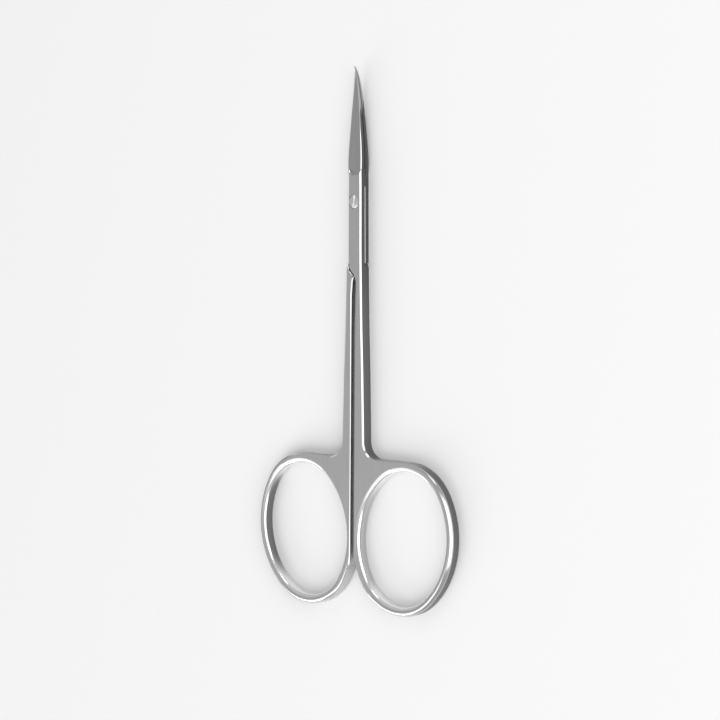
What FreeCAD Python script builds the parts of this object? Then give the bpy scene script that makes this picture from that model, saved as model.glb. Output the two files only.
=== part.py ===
import FreeCAD, Part
import math
import os

V = FreeCAD.Vector

# Cuticle scissors, closed and lying on their back, in millimetres.
# X runs across the rings, Y from the rings to the blade tips, and Z up from the back to the screw head.
# The halves meet at the parting plane, midway through the thickness, and turn about a pivot along Z.
# Places along the tool are counted from the pivot: ahead is towards the tips, behind towards the rings.

# Whole tool
total_length = 114.3
tip_ahead = 28.1
body_thickness = 2.95         # rings, shanks, and both halves at the lap
parting_gap = 0.06            # between the two inner faces of the lap
overrun = 5.0                 # how far a cutting shape runs past what it cuts

# Finger rings, each a tilted oval of four arcs
ring_hole_length = 28.5
ring_hole_width = 22.6
ring_bar = 1.95               # width of the bar round the hole
inner_bar_share = 0.76        # of that width is left beside the other handle
ring_tilt_degrees = 9.0       # the front ends of the rings lean outwards
ring_hole_round = 1.05
edge_bevel = 0.29             # polished flat all along the outline
handle_gap = 0.9              # between the two handles
parting_round = 9.0           # where the handles part at the rings

# Shanks and lap
lap_half_width = 1.8          # at the front end of the lap
shank_foot_half_width = 2.85
shank_foot_behind = 45.0
foot_round = 3.6              # hollow corner between shank and ring
lap_free_half_width = 1.57    # from the pivot to the free edge of the lap
shoulder_front_behind = 13.4
shoulder_foot_behind = 18.4
shoulder_gap = 0.08
shoulder_tip_run = 1.3        # along which the shoulder's tip widens to the full shank
lap_ahead = 6.8               # to the horns of the grind's heel
grind_heel_depth = 1.0

# Blades
heel_ahead = 8.3              # to the widest place
blade_root_ahead = 3.6        # where the blade is rooted inside the lap
spine_half_width = 2.0        # middle to spine, at the widest place
edge_half_width = 1.75        # middle to cutting edge, at the widest place
blade_thickness = 1.05        # one blade, at the widest place
blade_relief = 0.03           # the hollow of the inner face
blade_bevel = 0.15            # polished bevel along the outer face, at the widest place
edge_slant = 0.1              # how far the cutting wall leans in, at the widest place
blade_hollow = 0.1            # how deep the outer face is ground hollow, at the widest place
hook_depth = 1.7              # how far the tips bend up

# Pivot screw
head_diameter = 2.7
head_clearance = 0.08
head_seat_depth = 0.55
head_rim = 0.48
head_crown = 0.16
head_lift = 0.02              # running clearance under the head
shoulder_diameter = 1.8
running_clearance = 0.03
thread_diameter = 1.4
screw_end_recess = 0.06
slot_width = 0.5
slot_depth = 0.38
slot_turn_degrees = 8.0

# Stations along the blade, from the widest place to the tip, and how the blade fines down
root_width_share = 0.8
neck_station_share = 0.5
neck_width_share = 0.95
station_shares = [0.0, 0.2, 0.4, 0.58, 0.74, 0.86, 0.94, 0.98]
width_power = 1.3
thickness_power = 0.45
slow_hook_share = 0.25        # the rest of the hook comes close to the tip
slow_hook_power = 2
quick_hook_power = 11
hollow_shares = [0.25, 0.5, 0.75]   # places across the outer face

# Worked out from the sizes above
tip = total_length / 2
pivot = tip - tip_ahead
lap_front = pivot + lap_ahead
shank_foot = pivot - shank_foot_behind
heel = pivot + heel_ahead
half_gap = handle_gap / 2
side_reach = shank_foot_half_width + overrun
parting_plane = body_thickness / 2
head_seat = body_thickness - head_seat_depth

# Centres and radii of the ring's oval
tilt = math.radians(ring_tilt_degrees)
hole_long = ring_hole_length / 2
hole_short = ring_hole_width / 2
hole_diagonal = math.hypot(hole_long, hole_short)
end_radius = hole_diagonal * (hole_diagonal - hole_long + hole_short) / (2 * hole_long)
side_radius = hole_diagonal * (hole_diagonal + hole_long - hole_short) / (2 * hole_short)
end_shift = hole_long - end_radius
side_shift = side_radius - hole_short
inner_side_x = half_gap + ring_bar * inner_bar_share + side_radius
ring_x = inner_side_x - side_shift * math.cos(tilt)
ring_y = end_shift * math.cos(tilt) + end_radius + ring_bar - tip
ring_centre = V(ring_x, ring_y, 0)


def outer_edge(y):
    """Distance from the middle to the outer edge of lap and shank."""
    foot_share = (lap_front - y) / (lap_front - shank_foot)
    return lap_half_width + (shank_foot_half_width - lap_half_width) * foot_share


def line(a, b):
    return Part.LineSegment(a, b).toShape()


def prism(edges, bottom, top):
    """Extrude closed edges, drawn at Z = 0, between two heights."""
    face = Part.Face(Part.Wire(edges))
    face.translate(V(0, 0, bottom))
    return face.extrude(V(0, 0, top - bottom))


def bearing(angle):
    """Unit vector seen from above: 0 points to the tips, and it turns to the right."""
    return V(math.sin(angle), math.cos(angle), 0)


def arc(centre, radius, start, end):
    """Arc about a centre between two bearings."""
    angles = [start, (start + end) / 2, end]
    return Part.Arc(*[centre + bearing(angle) * radius for angle in angles]).toShape()


def ring_arcs(offset, first, last):
    """The oval of the ring's hole, offset outwards, between two bearings."""
    ahead = bearing(tilt) * end_shift
    right = bearing(tilt + math.pi / 2) * side_shift
    joint = math.atan2(side_shift, end_shift)
    ovals = [
        (ring_centre + ahead, end_radius, -joint, joint),
        (ring_centre - right, side_radius, joint, math.pi - joint),
        (ring_centre - ahead, end_radius, math.pi - joint, math.pi + joint),
        (ring_centre + right, side_radius, math.pi + joint, 2 * math.pi - joint),
    ]
    arcs = []
    for centre, radius, start, end in ovals:
        start = max(tilt + start, first)
        end = min(tilt + end, last)
        if end > start:
            arcs.append(arc(centre, radius + offset, start, end))
    return arcs


def corner_arc(before, corner, after, radius):
    """Ends and middle of the arc that rounds a corner between two straight runs."""
    to_before = (before - corner).normalize()
    to_after = (after - corner).normalize()
    half_angle = to_before.getAngle(to_after) / 2
    inward = (to_before + to_after).normalize()
    run = radius / math.tan(half_angle)
    middle = corner + inward * (radius / math.sin(half_angle) - radius)
    return corner + to_before * run, middle, corner + to_after * run


def s_curve(low, high):
    """Two equal arcs that leave both ends along Y."""
    middle = (low + high) / 2
    across, along = high.x - low.x, high.y - low.y
    radius = (across ** 2 + along ** 2) / (4 * abs(across))
    half_turn = math.asin(along / (2 * radius)) / 2
    toward = math.copysign(radius, across)
    bulge = V(toward * (1 - math.cos(half_turn)), radius * math.sin(half_turn), 0)
    return [
        Part.Arc(low, low + bulge, middle).toShape(),
        Part.Arc(middle, high - bulge, high).toShape(),
    ]


def ring_outline():
    """From the front of the lap along the outer side, round the ring and on to the inner side."""
    ring_front = ring_centre + bearing(tilt) * end_shift + bearing(0) * (end_radius + ring_bar)
    lap_corner = V(outer_edge(lap_front), lap_front, 0)
    foot_corner = V(outer_edge(ring_front.y), ring_front.y, 0)
    foot_start, foot_middle, foot_end = corner_arc(lap_corner, foot_corner, ring_front, foot_round)

    # the round where the ring leaves the straight inner side touches both
    side_centre = ring_centre + bearing(tilt + math.pi / 2) * side_shift
    across = half_gap + parting_round - side_centre.x
    apart = side_radius + ring_bar - parting_round
    along = -math.sqrt(apart ** 2 - across ** 2)
    leave = math.atan2(across, along) + 2 * math.pi
    round_centre = side_centre + V(across, along, 0)

    edges = [
        line(lap_corner, foot_start),
        Part.Arc(foot_start, foot_middle, foot_end).toShape(),
        line(foot_end, ring_front),
    ]
    edges += ring_arcs(ring_bar, 0, leave)
    edges.append(arc(round_centre, parting_round, leave, 3 * math.pi / 2))
    return edges, lap_corner, round_centre + bearing(3 * math.pi / 2) * parting_round


def shoulder_curve(shift):
    """The stepped edge of the lap, from the inner side of the right shank to the left free edge."""
    low = V(half_gap, pivot - shoulder_foot_behind, 0) + shift
    high = V(-lap_free_half_width, pivot - shoulder_front_behind, 0) + shift
    return s_curve(low, high), low, high


def blank_outline():
    edges, lap_corner, inner_end = ring_outline()
    curve, low, high = shoulder_curve(V(0, 0, 0))
    free_corner = V(-lap_free_half_width, lap_front, 0)
    heel_low = (free_corner + lap_corner) / 2 - V(0, grind_heel_depth, 0)
    edges.append(line(inner_end, low))
    edges += curve
    edges.append(line(high, free_corner))
    edges.append(Part.Arc(free_corner, heel_low, lap_corner).toShape())
    return edges


def flat_faces(solid):
    """The broad top and bottom faces."""
    broad = sorted(solid.Faces, key=lambda face: face.Area)
    return broad[-2:]


def finish_edges(blank):
    """Round the hole of the ring and bevel the outline, with the heel of the grind."""
    hole_edges = []
    for face in flat_faces(blank):
        for wire in face.Wires:
            if not wire.isSame(face.OuterWire):
                hole_edges += wire.Edges
    blank = blank.makeFillet(ring_hole_round, hole_edges)
    outline_edges = []
    for face in flat_faces(blank):
        outline_edges += face.OuterWire.Edges
    return blank.makeChamfer(edge_bevel, outline_edges)


def shoulder_cut():
    """The room that one half leaves for the other half's lap, below the parting plane."""
    shift = V(-shoulder_gap, -shoulder_gap, 0)
    curve, low, high = shoulder_curve(shift)
    front = lap_front + overrun
    tip_foot = V(-outer_edge(high.y), high.y - shoulder_tip_run, 0)
    corners = [high, tip_foot, V(-side_reach, tip_foot.y, 0), V(-side_reach, front, 0)]
    corners += [V(side_reach, front, 0), V(side_reach, low.y, 0), low]
    edges = list(curve)
    for a, b in zip(corners, corners[1:]):
        edges.append(line(a, b))
    room = prism(edges, -overrun, parting_plane + parting_gap / 2)
    return room.mirror(V(0, 0, 0), V(1, 0, 0))


def half_blank():
    """Ring, shank and lap of the front half: the back half is the same, turned over."""
    plate = prism(blank_outline(), 0, body_thickness)
    hole = prism(ring_arcs(0, -math.pi, 3 * math.pi), -overrun, body_thickness + overrun)
    blank = plate.cut(hole)
    return finish_edges(blank.Solids[0]).cut(shoulder_cut())


def blade_section(y, width, thickness, hook, up):
    """One blade cut across: inner face, leaning cutting wall, two bevels, hollow outer face and spine."""
    inner = parting_plane + hook + up * (parting_gap / 2 + blade_relief * thickness)
    outer = parting_plane + hook + up * blade_thickness * thickness
    bevel = blade_bevel * thickness
    wall = edge_half_width * width - edge_slant * thickness * width
    face_start = wall - bevel * width
    face_end = bevel * width - spine_half_width * width
    across = [
        (-spine_half_width * width, inner),
        (edge_half_width * width, inner),
        (wall, outer - up * bevel),
        (face_start, outer),
    ]
    for share in hollow_shares:
        depth = blade_hollow * thickness * 4 * share * (1 - share)
        across.append((face_start + (face_end - face_start) * share, outer - up * depth))
    across += [
        (face_end, outer),
        (-spine_half_width * width, outer - up * bevel),
    ]
    points = [V(up * x, y, z) for x, z in across]
    return Part.makePolygon(points + points[:1])


def blade(up):
    """A loft through stations from the root in the lap to the tip; up is 1 in front and -1 at the back."""
    reach = (tip - heel) / station_shares[-1]
    root = pivot + blade_root_ahead
    neck = root + (heel - root) * neck_station_share
    sections = [blade_section(root, root_width_share, 1, 0, up)]
    sections.append(blade_section(neck, neck_width_share, 1, 0, up))
    for share in station_shares:
        slow = slow_hook_share * share ** slow_hook_power
        quick = (1 - slow_hook_share) * share ** quick_hook_power
        sections.append(blade_section(
            heel + reach * share,
            1 - share ** width_power,
            (1 - share) ** thickness_power,
            hook_depth * (slow + quick),
            up,
        ))
    return Part.makeLoft(sections, True, False)


def pivot_cylinder(diameter, bottom, top):
    """A cylinder on the pivot axis between two heights."""
    return Part.makeCylinder(diameter / 2, top - bottom, V(0, pivot, bottom), V(0, 0, 1))


def front_half():
    half = half_blank().fuse(blade(1))
    seat = pivot_cylinder(head_diameter + 2 * head_clearance, head_seat, body_thickness + overrun)
    bore = pivot_cylinder(shoulder_diameter + 2 * running_clearance, -overrun, body_thickness + overrun)
    return half.cut(seat).cut(bore)


def back_half():
    half = half_blank()
    half.rotate(V(0, 0, parting_plane), V(0, 1, 0), 180)
    return half.fuse(blade(-1)).cut(pivot_cylinder(thread_diameter, -overrun, body_thickness + overrun))


def pivot_screw():
    """Slotted head with a low crown, a plain shoulder for the front half, and the threaded end."""
    under_head = head_seat + head_lift
    rim = under_head + head_rim
    crown = rim + head_crown
    radius = head_diameter / 2
    shoulder_radius = shoulder_diameter / 2
    thread_radius = thread_diameter / 2
    shoulder_end = parting_plane - parting_gap / 2
    corners = [
        V(radius, 0, rim),
        V(radius, 0, under_head),
        V(shoulder_radius, 0, under_head),
        V(shoulder_radius, 0, shoulder_end),
        V(thread_radius, 0, shoulder_end),
        V(thread_radius, 0, screw_end_recess),
        V(0, 0, screw_end_recess),
        V(0, 0, crown),
    ]
    profile = [Part.Arc(V(0, 0, crown), V(radius / 2, 0, crown - head_crown / 4), V(radius, 0, rim)).toShape()]
    for a, b in zip(corners, corners[1:]):
        profile.append(line(a, b))
    screw = Part.Face(Part.Wire(profile)).revolve(V(0, 0, 0), V(0, 0, 1), 360)
    slot = Part.makeBox(slot_width, 2 * head_diameter, slot_depth + overrun)
    slot.translate(V(-slot_width / 2, -head_diameter, crown - slot_depth))
    slot.rotate(V(0, 0, 0), V(0, 0, 1), -slot_turn_degrees)
    screw = screw.cut(slot)
    screw.translate(V(0, pivot, 0))
    return screw


os.makedirs("parts", exist_ok=True)
nodes = {"front_half": front_half(), "back_half": back_half(), "pivot_screw": pivot_screw()}
for name, shape in nodes.items():
    solid = shape.removeSplitter()
    box = solid.BoundBox
    print(name, "solids", len(solid.Solids), "valid", solid.isValid(), "volume", round(solid.Volume, 2),
          "along", round(box.YMin, 3), round(box.YMax, 3), "up", round(box.ZMin, 3), round(box.ZMax, 3))
    solid.exportStep("parts/" + name + ".step")
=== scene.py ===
import math

import bmesh
import bpy
from mathutils import Matrix, Vector


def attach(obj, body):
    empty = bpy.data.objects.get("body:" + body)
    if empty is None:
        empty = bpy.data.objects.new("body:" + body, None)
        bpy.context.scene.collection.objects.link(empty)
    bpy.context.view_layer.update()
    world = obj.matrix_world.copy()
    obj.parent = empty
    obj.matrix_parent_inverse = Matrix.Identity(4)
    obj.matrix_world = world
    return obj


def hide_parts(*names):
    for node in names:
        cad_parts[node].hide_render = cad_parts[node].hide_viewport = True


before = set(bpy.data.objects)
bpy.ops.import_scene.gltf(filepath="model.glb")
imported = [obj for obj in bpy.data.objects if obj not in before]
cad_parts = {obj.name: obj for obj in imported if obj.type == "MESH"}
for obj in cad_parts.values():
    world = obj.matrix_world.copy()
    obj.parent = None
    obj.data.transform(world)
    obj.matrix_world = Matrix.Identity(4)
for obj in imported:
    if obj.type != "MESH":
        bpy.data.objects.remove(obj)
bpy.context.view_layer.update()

print("frame loaded:", sorted(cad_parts))


# Shader maths: a number socket that takes part in Python sums
class Value:
    def __init__(self, shader, socket):
        self.shader = shader
        self.socket = socket

    def sum(self, operation, first, second):
        return self.shader.node("ShaderNodeMath", {"operation": operation}, {0: first, 1: second})

    def __add__(self, other):
        return self.sum("ADD", self, other)

    def __radd__(self, other):
        return self.sum("ADD", other, self)

    def __sub__(self, other):
        return self.sum("SUBTRACT", self, other)

    def __rsub__(self, other):
        return self.sum("SUBTRACT", other, self)

    def __mul__(self, other):
        return self.sum("MULTIPLY", self, other)

    def __rmul__(self, other):
        return self.sum("MULTIPLY", other, self)

    def swing(self, spread):  # noise from 0 to 1 as a swing to both sides of 0
        return (self - 0.5) * spread


def grey(level, warm=0.0):
    return (level * (1 + warm), level, level * (1 - warm), 1)


# One material and its nodes
colourMix = {"factor": 0, "first": 6, "second": 7, "result": 2}  # the Mix node's sockets for colours


class Shader:
    def __init__(self, name):
        self.material = bpy.data.materials.new(name)
        self.material.use_nodes = True
        self.tree = self.material.node_tree
        self.surface = self.tree.nodes["Principled BSDF"]

    def feed(self, socket, value):
        if isinstance(value, Value):
            self.tree.links.new(value.socket, socket)
        else:
            socket.default_value = value

    def node(self, kind, settings=None, sockets=None, out=0):
        made = self.tree.nodes.new(kind)
        for key, setting in (settings or {}).items():
            setattr(made, key, setting)
        for key, value in (sockets or {}).items():
            self.feed(made.inputs[key], value)
        return Value(self, made.outputs[out])

    def attribute(self, name):
        return self.node("ShaderNodeAttribute", {"attribute_name": name}, out="Fac")

    def place(self):
        return self.node("ShaderNodeTexCoord", out="Object")

    def mixColour(self, factor, first, second):
        sockets = {colourMix["factor"]: factor, colourMix["first"]: first, colourMix["second"]: second}
        return self.node("ShaderNodeMix", {"data_type": "RGBA"}, sockets, colourMix["result"])

    def spreadTone(self, factor, tone, spread, warm=0.0):  # from the darkest to the lightest shade of a tone
        return self.mixColour(factor, *(grey(tone * share, warm) for share in spread))

    def stretchedNoise(self, stretch, detail):
        run = self.node("ShaderNodeMapping", None, {"Vector": self.place(), "Scale": stretch})
        return self.node("ShaderNodeTexNoise", None, {"Vector": run, "Scale": 1.0, "Detail": detail})

    def blend(self, value, low, high):
        return self.node("ShaderNodeMapRange", {"interpolation_type": "SMOOTHSTEP"}, {
            "Value": value, "From Min": low, "From Max": high})

    def bump(self, height, strength, depth):
        sockets = {"Strength": strength, "Distance": depth, "Height": height}
        return self.node("ShaderNodeBump", None, sockets, "Normal")

    def finish(self, **sockets):
        for name, value in sockets.items():
            self.feed(self.surface.inputs[name.replace("_", " ")], value)
        return self.material


# Satin steel of the two halves: brushed along the length, polished on the bevels, with painted shade on the
# outer side walls and painted light and shade on the polished faces
steel = {
    # the wall tone is painted shade, the dark of the outer side walls, and also the dark of the random
    # clouds; the dull tone is painted shade on the polished faces
    "satinTone": 0.61, "groundTone": 0.48, "wallShadeAndCloudTone": 0.13, "polishedTone": 0.90, "polishShadeTone": 0.20,
    "warmth": 0.004, "toneSpread": (0.86, 1.12), "cloudShare": 0.12,
    "outerBlend": (-0.15, 0.55),  # where the painted shade of the side walls grows dark, by how far they face outwards
    "shankWallShade": 0.86, "lapBlend": (0.002, 0.022),  # the painted wall shade is a little lighter along the shanks
    "streaks": {"stretch": (5200, 70, 5200), "detail": 3.0}, "streakShare": 0.6,
    "fineStreaks": {"stretch": (14000, 260, 14000), "detail": 2.0},
    "clouds": {"stretch": (90, 45, 90), "detail": 3.0},
    "satinRoughness": 0.31, "grainRoughness": 0.12, "cloudRoughness": 0.06,
    "polishedRoughness": 0.17, "fineRoughness": 0.05,
    "streakBump": 0.10, "bumpDepth": 2e-5,
}


def satinSteel():
    s = Shader("satinSteel")
    polish = s.attribute("polish")
    plain = 1 - polish
    along = s.node("ShaderNodeSeparateXYZ", None, {"Vector": s.place()}, "Y")
    # painted shade: the side walls darken where they face outwards, a little less along the shanks
    wall = s.attribute("wall") * s.blend(s.attribute("outward"), *steel["outerBlend"])
    wall = wall * (steel["shankWallShade"] + (1 - steel["shankWallShade"]) * s.blend(along, *steel["lapBlend"]))
    streak = s.stretchedNoise(**steel["streaks"])
    fine = s.stretchedNoise(**steel["fineStreaks"])
    cloud = s.stretchedNoise(**steel["clouds"])
    grain = streak * steel["streakShare"] + fine * (1 - steel["streakShare"])

    def brushed(name):
        return s.spreadTone(grain, steel[name], steel["toneSpread"], steel["warmth"])

    def even(name):
        return grey(steel[name], steel["warmth"])

    faces = s.mixColour(s.attribute("ground"), brushed("satinTone"), brushed("groundTone"))
    # the side walls take the painted shade tone
    faces = s.mixColour(wall, faces, brushed("wallShadeAndCloudTone"))
    shade = s.mixColour(cloud * steel["cloudShare"], faces, even("wallShadeAndCloudTone"))
    # polished faces: a per-vertex brightness attribute paints light and shade into their tone
    bright = s.mixColour(s.attribute("sheenAndShade"), even("polishShadeTone"), even("polishedTone"))
    tone = s.mixColour(polish, shade, bright)
    satinRough = steel["satinRoughness"] + grain.swing(steel["grainRoughness"])
    satinRough = satinRough + cloud.swing(steel["cloudRoughness"])
    polishedRough = steel["polishedRoughness"] + fine.swing(steel["fineRoughness"])
    rough = plain * satinRough + polish * polishedRough
    bump = s.bump(grain * plain, steel["streakBump"], steel["bumpDepth"])
    return s.finish(Base_Color=tone, Metallic=1.0, Roughness=rough, Normal=bump)


# Polished steel of the screw, with fine marks and a duller slot
screwSteel = {
    "tone": 0.78, "toneSpread": (0.85, 1.1), "slotTone": 0.62, "roughness": 0.22, "markRoughness": 0.12,
    "clouds": {"stretch": (900, 900, 900), "detail": 3.0},
    "marks": {"stretch": (6500, 6500, 6500), "detail": 2.0},
    "markBump": 0.12, "bumpDepth": 1.5e-5,
}


def turnedSteel():
    s = Shader("turnedSteel")
    cloud = s.stretchedNoise(**screwSteel["clouds"])
    marks = s.stretchedNoise(**screwSteel["marks"])
    head = s.spreadTone(cloud, screwSteel["tone"], screwSteel["toneSpread"])
    tone = s.mixColour(s.attribute("wall"), head, grey(screwSteel["slotTone"]))
    rough = screwSteel["roughness"] + marks.swing(screwSteel["markRoughness"])
    bump = s.bump(marks, screwSteel["markBump"], screwSteel["bumpDepth"])
    return s.finish(Base_Color=tone, Metallic=1.0, Roughness=rough, Normal=bump)


# What the pieces share: each starts from its CAD node and gets its finishes and its painted light and shade
# marked
finishing = {
    "weld": 1e-7, "satinAbove": 0.93, "wallBelow": 0.2,  # faces lie above, side walls below, bevels between
    "flatAbove": 0.9999, "edgeAngle": 24,
}


def clampShare(value):
    return max(0.0, min(1.0, value))


def smoothShare(value):
    share = clampShare(value)
    return share * share * (3 - 2 * share)


def nowhere(face):
    return False


def fully(v):
    return 1.0


def isBevel(face):
    return finishing["wallBelow"] < abs(face.normal.z) < finishing["satinAbove"]


def shapeFromFrame(nodeName):
    bm = bmesh.new()
    bm.from_mesh(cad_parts[nodeName].data)
    bmesh.ops.remove_doubles(bm, verts=bm.verts, dist=finishing["weld"])
    return bm


def easeEdges(bm, isWanted, crease, width, segments=1):
    limit = math.radians(crease)
    sharp = [e for e in bm.edges if len(e.link_faces) == 2 and e.calc_face_angle() > limit]
    bmesh.ops.bevel(bm, geom=[e for e in sharp if isWanted(e)], offset=width, offset_type="OFFSET",
                    segments=segments, profile=0.5, affect="EDGES", clamp_overlap=False, material=-1)


def markFinishesAndShade(bm, isPolishedAndLit=nowhere, isGround=nowhere, outwardness=fully, sheenAndShadeOf=fully):
    polish = bm.faces.layers.float.new("polish")
    wall = bm.faces.layers.float.new("wall")
    ground = bm.faces.layers.float.new("ground")
    outward = bm.verts.layers.float.new("outward")
    sheenAndShade = bm.verts.layers.float.new("sheenAndShade")
    bm.normal_update()
    for v in bm.verts:
        v[outward] = outwardness(v)
        v[sheenAndShade] = sheenAndShadeOf(v)
    for face in bm.faces:
        bright = isBevel(face) or isPolishedAndLit(face)
        steep = abs(face.normal.z) <= finishing["wallBelow"]
        face[polish] = 1.0 if bright else 0.0
        face[wall] = 1.0 if steep and not bright else 0.0
        face[ground] = 1.0 if isGround(face) else 0.0
        face.smooth = True
        face.material_index = 0
    limit = math.radians(finishing["edgeAngle"])
    for edge in bm.edges:  # flat faces keep straight normals up to their rims
        flat = [abs(face.normal.z) > finishing["flatAbove"] for face in edge.link_faces]
        edge.smooth = len(set(flat)) == 1 and (len(flat) < 2 or edge.calc_face_angle() < limit)


def addObject(name, data):
    made = bpy.data.objects.new(name, data)
    bpy.context.scene.collection.objects.link(made)
    return made


def addMesh(name, bm, material):
    mesh = bpy.data.meshes.new(name)
    bm.to_mesh(mesh)
    bm.free()
    mesh.materials.append(material)
    return addObject(name, mesh)


def addPiece(name, bm, nodeName, body, material):
    piece = addMesh(name, bm, material)
    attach(piece, body)
    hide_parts(nodeName)
    print("piece made:", name, len(piece.data.polygons), "faces")


# The two halves, in metres: side is 1 for the front half with the right ring, -1 for the back half
halfPiece = {
    "partingHeight": 0.001475, "near": 1e-6, "sliver": 1e-6,  # near counts as touching, slivers are dissolved
    # ring bars
    "ringMiddle": (0.0133, -0.0410), "ringStart": -0.0255, "ringReach": 0.0175,
    "ringFadeTop": 0.006, "ringFadeFrom": 0.003, "ringFadeGap": 0.004, "ringTilt": (0.6, 0.8),
    "ringRoundIn": 0.00030, "ringRoundDown": 0.00038, "ringRoundBelow": 0.2,
    "ringEase": 0.00019, "ringSegments": 3, "ringCrease": 30, "ringEdgeFrom": 0.00135,
    # parting line along the lap, and the shoulders behind it
    "lapStart": 0.0141, "lapEnd": 0.0362, "lapInside": 0.0014, "plainAngle": 0.002, "edgeCrease": 60,
    "partingBand": 5e-5, "partingEase": 0.00005, "partingSlant": 0.1, "easeEnd": 0.0322,
    "shoulderStart": 0.0104, "shoulderEnd": 0.0157, "shoulderEase": 0.00010,
    "raise": 0.00115, "raiseFoot": 0.002, "raiseIn": 0.008, "raiseOut": 0.0101,
    # free edge of the back lap
    "freeStart": 0.0157, "freeEnd": 0.0359, "freeInside": 0.0012, "freeEdge": 0.00157,
    "flushFront": 0.00020, "flushRear": 0.00040,
    # waist of the shanks' outer sides
    "sideFront": (0.0018, 0.03585), "sideFoot": (0.00285, -0.01595),
    "waist": 0.00023, "waistMiddle": 0.0110, "waistReach": 0.0240, "waistParts": 9,
    "waistEdge": 0.0003, "waistFade": 0.0008, "lapFade": 0.0033,
    # gap between the shanks
    "gapReach": 0.0009, "gapEase": 0.5, "gapBevel": 0.00029, "gapTrim": 0.00014, "gapShift": 0.00015,
    "gapFade": 0.0025,
    # finishes: how bright the polish is, with painted shade at the gap's upper edge, on the rings' outer
    # bevels and on the hole walls, and where the blades are hollow-ground
    "gapEdgeShade": 0.0, "bevelSheen": 0.68, "outerBevelShade": {1: 0.55, -1: 0.05}, "outerAbove": 0.2,
    "holeWallShade": {1: 0.50, -1: 0.98}, "holeShadeFrom": 0.63, "holeShadeOver": 0.29,
    "rootStart": 0.0330, "groundStart": 0.0375, "groundHeight": 0.0012,
}


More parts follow.
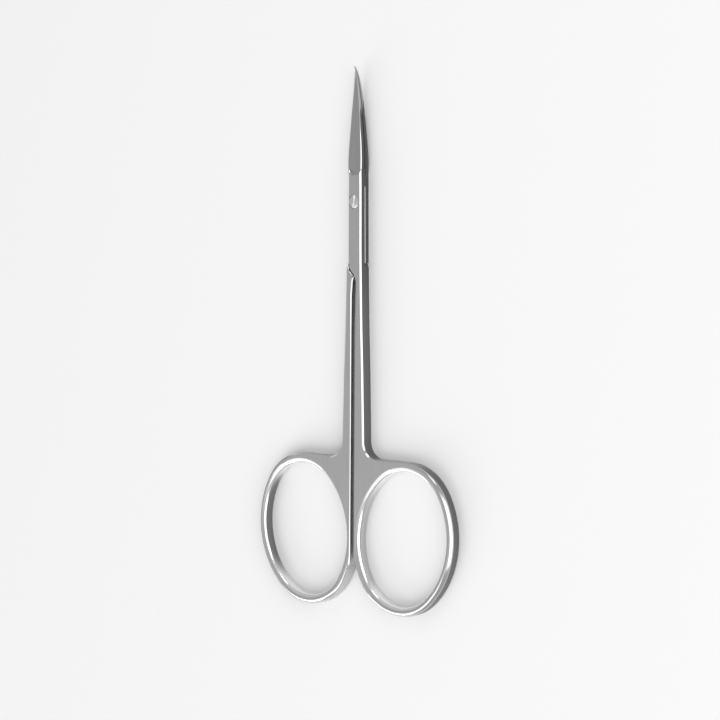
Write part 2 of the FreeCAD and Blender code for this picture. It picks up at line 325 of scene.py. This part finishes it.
def scissorHalf(name, nodeName, body, side, material):
    sizes = halfPiece
    ringX, ringY = sizes["ringMiddle"]
    middle = Vector((side * ringX, ringY, 0))
    bm = shapeFromFrame(nodeName)

    def fromParting(v):
        return v.co.z - sizes["partingHeight"]

    def isOnFace(v):  # on the upper or the lower face
        return abs(fromParting(v)) > sizes["partingHeight"] - sizes["near"]

    def liesBetween(edge, start, end):
        ends = [v.co.y for v in edge.verts]
        return min(ends) > start and max(ends) < end

    def cutAcross(y):
        bmesh.ops.bisect_plane(bm, geom=bm.verts[:] + bm.edges[:] + bm.faces[:],
                               plane_co=(0, y, 0), plane_no=(0, 1, 0))

    def ringShare(place):  # 1 all round the ring, fading out at the shank foot and the gap
        down = (sizes["ringStart"] - place.y) / sizes["ringFadeTop"]
        out = (abs(place.x) - sizes["ringFadeFrom"]) / sizes["ringFadeGap"]
        return smoothShare(min(down, out))

    def widenBevel():  # the bevel grows into a round along the ring's outer side
        low, high = sizes["ringTilt"]
        moves = {}
        for face in bm.faces:
            outwards = (face.calc_center_median() - middle).xy.dot(face.normal.xy) > 0
            if outwards and low < abs(face.normal.z) < high:
                for v in face.verts:
                    moves[v] = moves.get(v, Vector()) + face.normal
        for v, normal in moves.items():
            share = ringShare(v.co)
            above = fromParting(v)
            if above < 0:
                share *= sizes["ringRoundBelow"]
            if isOnFace(v):
                away = Vector((normal.x, normal.y, 0)).normalized()
                v.co -= away * sizes["ringRoundIn"] * share
            else:
                v.co.z -= math.copysign(sizes["ringRoundDown"] * share, above)

    def clearWalls():  # plain side walls beside the parting edge, which is eased as far as the blade's root
        def isPlain(edge):
            level = max(abs(face.normal.z) for face in edge.link_faces)
            beside = liesBetween(edge, sizes["lapStart"], sizes["lapEnd"])
            return beside and level < finishing["wallBelow"] and edge.calc_face_angle() < sizes["plainAngle"]

        bmesh.ops.dissolve_edges(bm, edges=[e for e in bm.edges if isPlain(e)], use_verts=False)
        cutAcross(sizes["easeEnd"])

    def isRingEdge(edge):
        centre = (edge.verts[0].co + edge.verts[1].co) / 2
        return centre.y < sizes["ringStart"] and abs(centre.x) > sizes["ringEdgeFrom"]

    def isPartingEdge(edge):
        run = edge.verts[1].co - edge.verts[0].co
        straight = abs(run.x) < sizes["partingSlant"] * abs(run.y)
        outside = min(abs(v.co.x) for v in edge.verts) > sizes["lapInside"]
        level = max(abs(fromParting(v)) for v in edge.verts)
        beside = liesBetween(edge, sizes["lapStart"], sizes["easeEnd"] + sizes["near"])
        return straight and outside and beside and level < sizes["partingBand"]

    def isShoulderEdge(edge):
        beside = liesBetween(edge, sizes["shoulderStart"], sizes["shoulderEnd"])
        return beside and any(isOnFace(v) for v in edge.verts)

    def widenLap():  # the free edge of the back lap comes out flush with the front half's side
        cutAcross(sizes["freeStart"])
        for v in bm.verts:
            onSide = v.co.x > sizes["freeInside"] and v.co.z < sizes["partingHeight"]
            if onSide and sizes["freeStart"] - sizes["near"] < v.co.y < sizes["freeEnd"]:
                share = (sizes["freeEnd"] - v.co.y) / (sizes["freeEnd"] - sizes["freeStart"])
                widen = sizes["flushFront"] + (sizes["flushRear"] - sizes["flushFront"]) * share
                v.co.x = max(v.co.x, min(v.co.x, sizes["freeEdge"]) + widen)

    def slimShank():  # the sides are drawn in a little behind the lap
        (frontX, frontY), (footX, footY) = sizes["sideFront"], sizes["sideFoot"]
        for cut in range(1, sizes["waistParts"]):
            cutAcross(sizes["waistMiddle"] + sizes["waistReach"] * (2 * cut / sizes["waistParts"] - 1))
        for v in bm.verts:
            along = (v.co.y - sizes["waistMiddle"]) / sizes["waistReach"]
            edge = frontX + (footX - frontX) * (frontY - v.co.y) / (frontY - footY)
            inside = (edge - abs(v.co.x) - sizes["waistEdge"]) / sizes["waistFade"]
            share = 1.0
            if side * v.co.x < 0 and v.co.y > sizes["freeStart"] - sizes["near"]:
                # the lap over the other half: only the front one follows, and soon stops
                onward = (v.co.y - sizes["freeStart"]) / sizes["lapFade"]
                share = 1 - smoothShare(onward) if side > 0 else 0.0
            if abs(along) < 1 and inside < 1:
                drawn = sizes["waist"] * (1 - along * along) ** 2 * min(1.0, 1 - inside)
                v.co.x -= math.copysign(drawn * share, v.co.x)

    def trimGap():  # finer bevels along the gap, which lies a little left of the middle
        bevels = [face for face in bm.faces if isBevel(face) and side * face.normal.x < 0
                  and abs(face.calc_center_median().x) < sizes["gapReach"]]
        onBevel = {v for face in bevels for v in face.verts}
        for v in bm.verts:
            up = (sizes["shoulderStart"] - v.co.y) / sizes["gapFade"]
            out = (1 - abs(v.co.x) / sizes["gapReach"]) / sizes["gapEase"]
            share = clampShare(min(up, out))
            if v in onBevel:
                above = fromParting(v)
                depth = min(1.0, (sizes["partingHeight"] - abs(above)) / sizes["gapBevel"])
                v.co.x -= side * sizes["gapTrim"] * share * (1 - depth)
                v.co.z += math.copysign(sizes["gapTrim"] * share * depth, above)
            v.co.x -= sizes["gapShift"] * share

    def raiseShoulder():  # the gap's end, and the shoulder with it, lies nearer to the screw
        for v in bm.verts:
            rise = smoothShare((v.co.y - sizes["raiseFoot"]) / sizes["raiseIn"])
            fall = smoothShare((v.co.y - sizes["shoulderStart"]) / sizes["raiseOut"])
            v.co.y += sizes["raise"] * rise * (1 - fall)

    def isPolishedAndLit(face):  # the walls of the finger hole and of the gap: polished, and their bright polished tone is painted light that lifts the shade in them
        centre = face.calc_center_median()
        away = (centre - middle).xy
        inHole = away.length < sizes["ringReach"] and away.dot(face.normal.xy) < 0
        inGap = abs(centre.x) < sizes["gapReach"] and centre.y < sizes["shoulderStart"]
        return abs(face.normal.z) < finishing["satinAbove"] and (inHole or inGap)

    def isGround(face):  # the hollow outer face of the blade
        start = min(v.co.y for v in face.verts)
        height = max(abs(fromParting(v)) for v in face.verts)
        return start > sizes["groundStart"] or start > sizes["rootStart"] and height < sizes["groundHeight"]

    def outwardness(v):  # 1 on the sides away from the other handle, -1 towards it; the side walls' painted shade follows it
        if abs(v.co.x) < sizes["gapReach"]:
            return -1.0
        shank = clampShare((v.co.y - sizes["ringStart"]) / sizes["ringFadeTop"])
        return shank + (1 - shank) * side * v.normal.x

    def sheenAndShadeOf(v):  # painted light and shade on the polished faces: the hole's walls are dark where they face sideways, more in the left ring, and light where they face up or down; the rings' outer bevels and the gap's upper edge are darkened too
        if isOnFace(v) and abs(v.co.x) < sizes["gapReach"] and v.co.y > sizes["ringStart"]:
            return sizes["gapEdgeShade"]
        away = (v.co - middle).xy
        if away.length > sizes["ringReach"] or away.dot(v.normal.xy) > 0:
            outer = v.co.y < sizes["ringStart"] and side * v.normal.x > sizes["outerAbove"]
            return sizes["outerBevelShade"][side] if outer else sizes["bevelSheen"]
        sideways = smoothShare((abs(v.normal.x) - sizes["holeShadeFrom"]) / sizes["holeShadeOver"])
        return 1.0 - sizes["holeWallShade"][side] * sideways

    widenBevel()
    clearWalls()
    easeEdges(bm, isRingEdge, sizes["ringCrease"], sizes["ringEase"], sizes["ringSegments"])
    easeEdges(bm, isPartingEdge, sizes["edgeCrease"], sizes["partingEase"])
    easeEdges(bm, isShoulderEdge, sizes["edgeCrease"], sizes["shoulderEase"])
    if side < 0:
        widenLap()
    slimShank()
    trimGap()
    for v in bm.verts:  # nothing dips below the floor
        v.co.z = max(0.0, v.co.z)
    bmesh.ops.dissolve_degenerate(bm, dist=sizes["sliver"], edges=bm.edges)
    markFinishesAndShade(bm, isPolishedAndLit, isGround, outwardness, sheenAndShadeOf)
    raiseShoulder()
    addPiece(name, bm, nodeName, body, material)


halfSteel = satinSteel()
scissorHalf("frontScissorHalf", "front_half", "front", 1, halfSteel)
scissorHalf("backScissorHalf", "back_half", "back", -1, halfSteel)


# The screw keeps the shape of its CAD node
def pivotScrew(name, nodeName, body, material):
    bm = shapeFromFrame(nodeName)
    markFinishesAndShade(bm)
    addPiece(name, bm, nodeName, body, material)


pivotScrew("slottedPivotScrew", "pivot_screw", "back", turnedSteel())


# Pale floor that the scissors lie on
floorSheet = {
    "reach": 3.0, "level": 0.85, "levelSpread": (0.995, 1.005), "roughness": 0.9,
    "mottle": {"stretch": (2, 2, 2), "detail": 2.0},
}


def paleFloor():
    s = Shader("paleFloor")
    mottle = s.stretchedNoise(**floorSheet["mottle"])
    tone = s.spreadTone(mottle, floorSheet["level"], floorSheet["levelSpread"])
    material = s.finish(Base_Color=tone, Roughness=floorSheet["roughness"], Specular_IOR_Level=0.0)
    bm = bmesh.new()
    bmesh.ops.create_grid(bm, x_segments=1, y_segments=1, size=floorSheet["reach"])
    floor = addMesh("paleFloor", bm, material)


paleFloor()
print("floor laid")


# Soft studio light: a broad key, a wide panel that the bevels mirror, a low one and a weak one past the tips
studio = {
    "room": 0.53,
    "key": {"from": (-0.32, -0.66, 0.68), "away": 2.0, "strength": 0.98, "spread": 50},
    "panels": {
        "bevelPanel": {"from": (0.76, -0.03, 0.64), "away": 1.0, "size": (1.30, 0.90), "power": 5.4},
        "lowPanel": {"from": (-0.62, -0.74, 0.25), "away": 1.2, "size": (0.90, 0.36), "power": 4.2},
        "crossPanel": {"from": (0.25, 0.83, 0.50), "away": 1.2, "size": (0.40, 0.40), "power": 0.8},
    },
}


def addLamp(name, kind, sizes):
    lamp = bpy.data.lights.new(name, kind)
    holder = addObject(name, lamp)
    towards = Vector(sizes["from"]).normalized()
    holder.location = towards * sizes["away"]
    holder.rotation_euler = towards.to_track_quat("Z", "Y").to_euler()
    holder.visible_camera = False
    return lamp


def studioLight():
    room = bpy.data.worlds.new("room")
    room.use_nodes = True
    room.node_tree.nodes["Background"].inputs["Color"].default_value = grey(studio["room"])
    bpy.context.scene.world = room
    key = addLamp("key", "SUN", studio["key"])
    key.energy = studio["key"]["strength"]
    key.angle = math.radians(studio["key"]["spread"])
    for name, sizes in studio["panels"].items():
        panel = addLamp(name, "AREA", sizes)
        panel.shape = "RECTANGLE"
        panel.size, panel.size_y = sizes["size"]
        panel.energy = sizes["power"]


studioLight()
bpy.context.scene.view_settings.view_transform = "Standard"
print("lights set")


# Camera at the photograph's viewing angle
cameraSetup = {
    "turn": 40.0, "rise": 3.7, "roll": 0.33, "distance": 0.48,
    "aim": (0.0, -0.0042, 0.001475), "aside": 0.00057,
    "lens": 114.0, "sensor": 36.0, "clip": (0.01, 20.0),
}


def addCamera():
    data = bpy.data.cameras.new("camera")
    data.lens = cameraSetup["lens"]
    data.sensor_width = cameraSetup["sensor"]
    data.clip_start, data.clip_end = cameraSetup["clip"]
    turn = math.radians(cameraSetup["turn"])
    rise = math.radians(cameraSetup["rise"])
    back = Vector((math.sin(turn) * math.cos(rise), math.sin(rise), math.cos(turn) * math.cos(rise)))
    right = Vector((math.cos(turn), 0, -math.sin(turn)))
    up = back.cross(right)
    rolled = Matrix.Rotation(math.radians(cameraSetup["roll"]), 3, back)
    right, up = rolled @ right, rolled @ up
    place = Vector(cameraSetup["aim"]) + right * cameraSetup["aside"] + back * cameraSetup["distance"]
    camera = addObject("camera", data)
    camera.matrix_world = Matrix.Translation(place) @ Matrix((right, up, back)).transposed().to_4x4()
    bpy.context.scene.camera = camera


addCamera()
print("camera placed")
